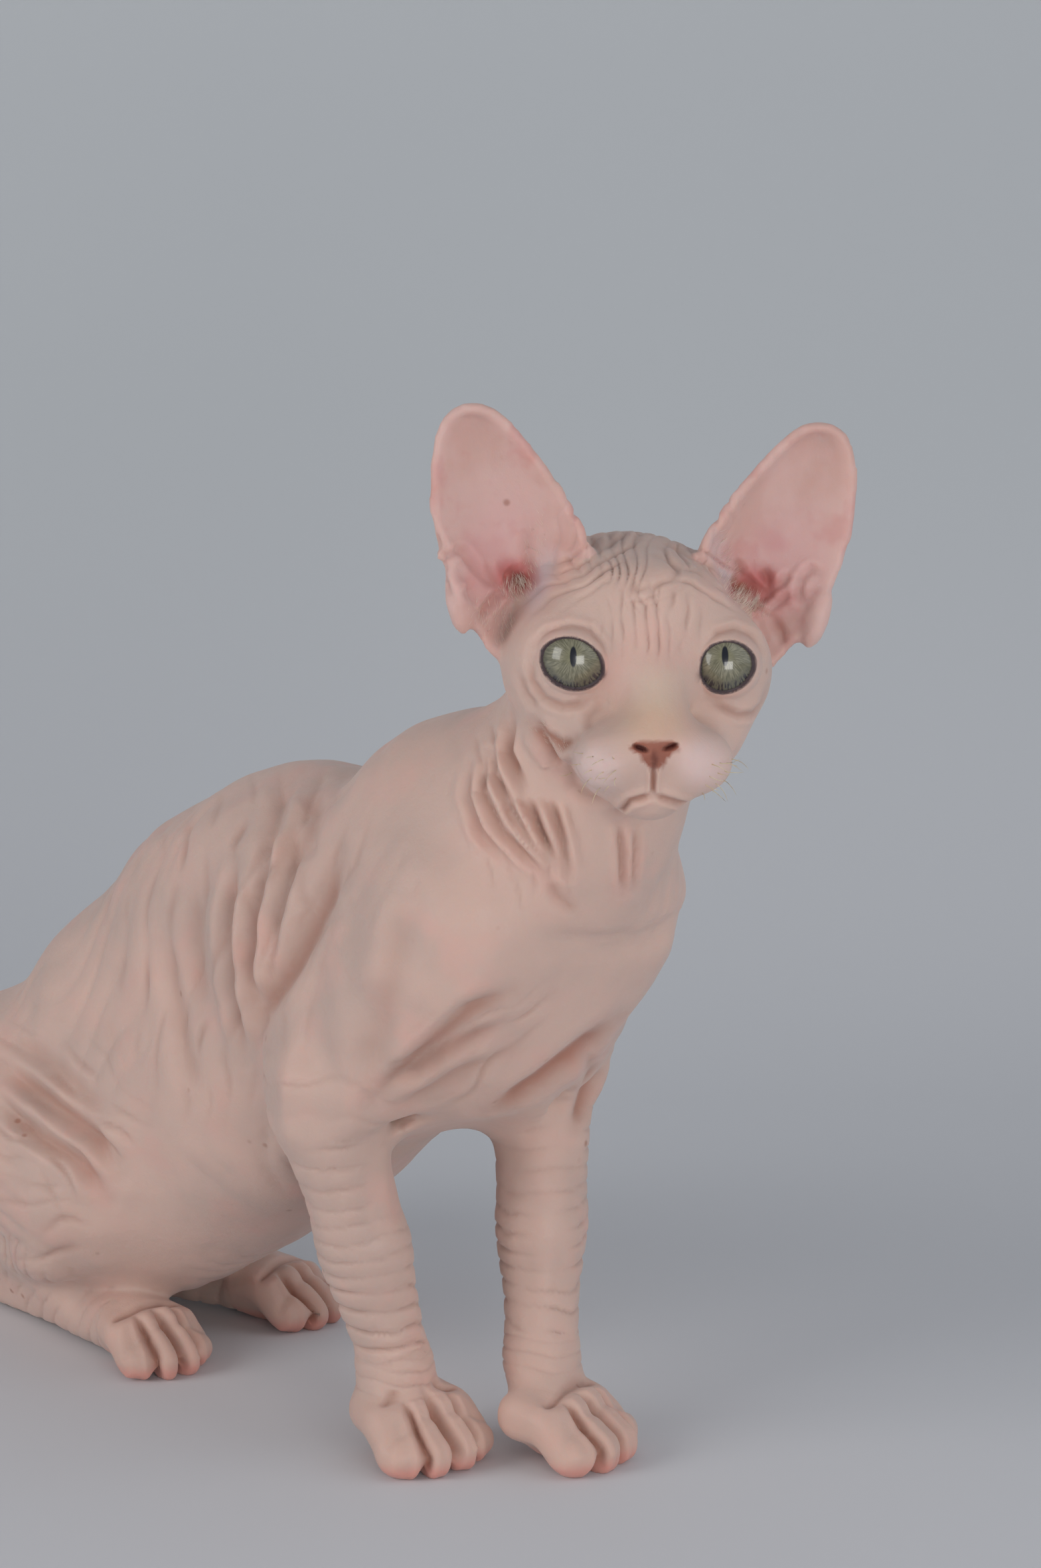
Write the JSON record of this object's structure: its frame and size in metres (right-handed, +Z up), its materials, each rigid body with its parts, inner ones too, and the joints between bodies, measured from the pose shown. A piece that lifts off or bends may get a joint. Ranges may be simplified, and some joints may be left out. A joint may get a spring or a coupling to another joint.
{
  "type": "sphynx kitten",
  "caption": "life-size hairless kitten, half crouched on straight forelegs with its head turned to one side, for display on a level surface",
  "frame": {"origin": "middle of the object's box at floor level, under the chest and belly", "axes": "+Z up, -Y is the way the kitten's trunk faces, +X its left side"},
  "size_m": [0.1312, 0.3318, 0.2622],
  "materials": {
    "skin": "bare wrinkled skin, soft satin, slightly translucent",
    "nose_leather": "fine-grained moist leather",
    "eye": "glossy clear cornea over an olive iris with a slit pupil",
    "claw": "translucent horn, satin"
  },
  "bodies": {
    "root": {"nose_leather": "nose_leather", "head": "skin", "eye_right": "eye", "ear_right": "skin", "eye_left": "eye", "ear_left": "skin", "neck": "skin", "chest": "skin", "belly": "skin", "rump": "skin", "foreleg_upper_right": "skin", "foreleg_lower_right": "skin", "claw_fore_right_1": "claw", "claw_fore_right_2": "claw", "claw_fore_right_3": "claw", "claw_fore_right_4": "claw", "forepaw_right": "skin", "thigh_right": "skin", "hindleg_lower_right": "skin", "claw_hind_right_1": "claw", "claw_hind_right_2": "claw", "claw_hind_right_3": "claw", "claw_hind_right_4": "claw", "hindpaw_right": "skin", "foreleg_upper_left": "skin", "foreleg_lower_left": "skin", "claw_fore_left_1": "claw", "claw_fore_left_2": "claw", "claw_fore_left_3": "claw", "claw_fore_left_4": "claw", "forepaw_left": "skin", "thigh_left": "skin", "hindleg_lower_left": "skin", "claw_hind_left_1": "claw", "claw_hind_left_2": "claw", "claw_hind_left_3": "claw", "claw_hind_left_4": "claw", "hindpaw_left": "skin", "tail_1": "skin", "tail_2": "skin", "tail_3": "skin", "tail_4": "skin"}
  },
  "joints": []
}
